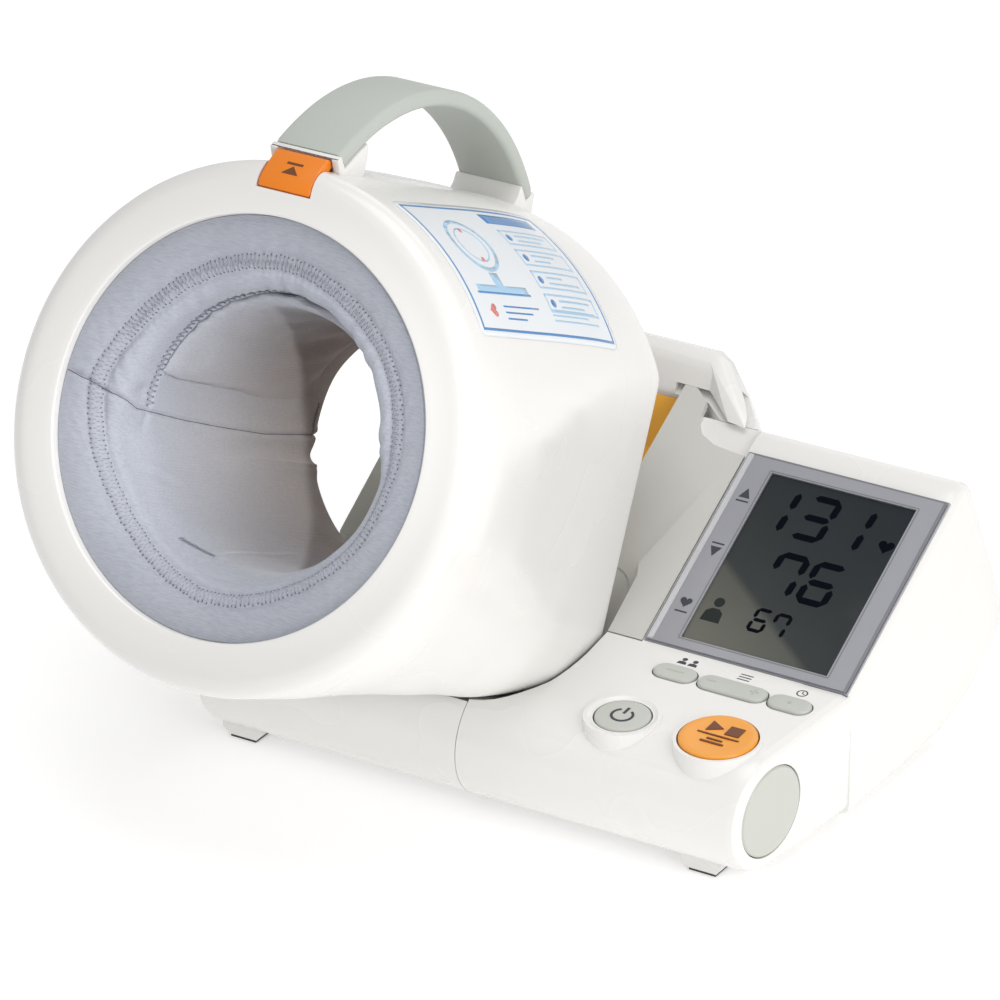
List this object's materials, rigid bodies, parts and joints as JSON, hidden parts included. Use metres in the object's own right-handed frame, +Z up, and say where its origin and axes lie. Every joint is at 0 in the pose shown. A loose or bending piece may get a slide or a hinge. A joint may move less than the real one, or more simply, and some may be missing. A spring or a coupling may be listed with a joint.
{
  "type": "arm-in blood pressure monitor",
  "caption": "Desk blood pressure monitor: a tilting padded cuff drum with a carrying handle on a base with a control deck, round and oblong keys and a sloped display.",
  "frame": {"origin": "middle of the footprint of the whole object, on the surface that it stands on", "axes": "+Z up; -Y towards the user, where the arm goes in and the keys are; +X towards the end of the control unit, right of the drum as the user sees it"},
  "size_m": [0.2552, 0.249, 0.2319],
  "materials": {
    "white_shell": "satin gloss moulded shell",
    "under_cover": "fine texture",
    "grey_panel": "satin",
    "grey_rest": "satin",
    "orange_tray": "gloss",
    "lens_silver": "satin silver-grey",
    "lcd_window": "clear window",
    "lcd_body": "display cell",
    "circuit_board": "solder mask",
    "end_disc": "satin",
    "foot_rubber": "matte",
    "battery_body": "wrapped can",
    "contact_metal": "sprung steel",
    "socket_black": "matte",
    "pump_metal": "drawn can",
    "hose": "soft tube",
    "bracket_steel": "zinc plated",
    "cuff_fabric": "fine knit, stitched",
    "sleeve_plastic": "plain",
    "bladder_rubber": "thin sheet",
    "handle_grip": "soft strap",
    "label_film": "printed film",
    "bush_plastic": "plain bearing",
    "latch_orange": "gloss",
    "start_orange": "satin gloss",
    "key_grey": "satin"
  },
  "bodies": {
    "base": {"control_housing": "white_shell", "cradle_housing": "white_shell", "rear_shoulder": "white_shell", "control_bottom_cover": "under_cover", "cradle_bottom_cover": "under_cover", "side_panel": "grey_panel", "elbow_rest": "grey_rest", "elbow_tray": "orange_tray", "display_frame": "lens_silver", "display_window": "lcd_window", "lcd_module": "lcd_body", "main_board": "circuit_board", "key_board": "circuit_board", "end_cap": "end_disc", "foot_blocks": "white_shell", "rubber_feet": "foot_rubber", "batteries": "battery_body", "battery_contacts": "contact_metal", "dc_socket": "socket_black", "air_pump": "pump_metal", "exhaust_valve": "socket_black", "pressure_sensor": "socket_black", "air_hose": "hose", "buzzer": "socket_black", "hinge_brackets": "bracket_steel", "hinge_pins": "bracket_steel", "base_screws": "bracket_steel"},
    "cuff_drum": {"drum_casing": "white_shell", "front_bezel": "white_shell", "rear_bezel": "white_shell", "cuff_sleeve": "sleeve_plastic", "air_bladder": "bladder_rubber", "cuff_cushion": "cuff_fabric", "cuff_front_lining": "cuff_fabric", "cuff_rear_lining": "cuff_fabric", "handle_frame": "white_shell", "handle_grip": "handle_grip", "guide_label": "label_film", "hinge_arms": "white_shell", "hinge_bushes": "bush_plastic", "drum_hose": "hose", "drum_screws": "bracket_steel"},
    "latch_button": {"latch_button": "latch_orange"},
    "start_key": {"start_key": "start_orange"},
    "power_key": {"power_key": "key_grey"},
    "recall_key": {"recall_key": "key_grey"},
    "memory_key": {"memory_key": "key_grey"},
    "print_key": {"print_key": "key_grey"},
    "battery_cover": {"battery_cover": "under_cover"}
  },
  "joints": [
    {"name": "drum_tilt", "type": "hinge", "parent": "base", "child": "cuff_drum", "pos_m": [-0.04062, 0.03455, 0.025], "axis": [-1, 0, 0], "range_deg": [0, 20]},
    {"name": "latch_press", "type": "slide", "parent": "cuff_drum", "child": "latch_button", "axis": [0, 0.4848, -0.8746], "range_m": [0, 0.0014], "stiffness_N_per_m": 300, "springref_m": -0.0004},
    {"name": "start_press", "type": "slide", "parent": "base", "child": "start_key", "axis": [0, 0.0733, -0.9973], "range_m": [0, 0.0012], "stiffness_N_per_m": 250, "springref_m": -0.0004},
    {"name": "power_press", "type": "slide", "parent": "base", "child": "power_key", "axis": [0, 0.0733, -0.9973], "range_m": [0, 0.0012], "stiffness_N_per_m": 250, "springref_m": -0.0004},
    {"name": "recall_press", "type": "slide", "parent": "base", "child": "recall_key", "axis": [0, 0.0733, -0.9973], "range_m": [0, 0.0012], "stiffness_N_per_m": 250, "springref_m": -0.0004},
    {"name": "memory_press", "type": "slide", "parent": "base", "child": "memory_key", "axis": [0, 0.0733, -0.9973], "range_m": [0, 0.0012], "stiffness_N_per_m": 250, "springref_m": -0.0004},
    {"name": "print_press", "type": "slide", "parent": "base", "child": "print_key", "axis": [0, 0.0733, -0.9973], "range_m": [0, 0.0012], "stiffness_N_per_m": 250, "springref_m": -0.0004},
    {"name": "battery_cover_slide", "type": "slide", "parent": "base", "child": "battery_cover", "axis": [0, 1, 0], "range_m": [0, 0.0095]}
  ]
}
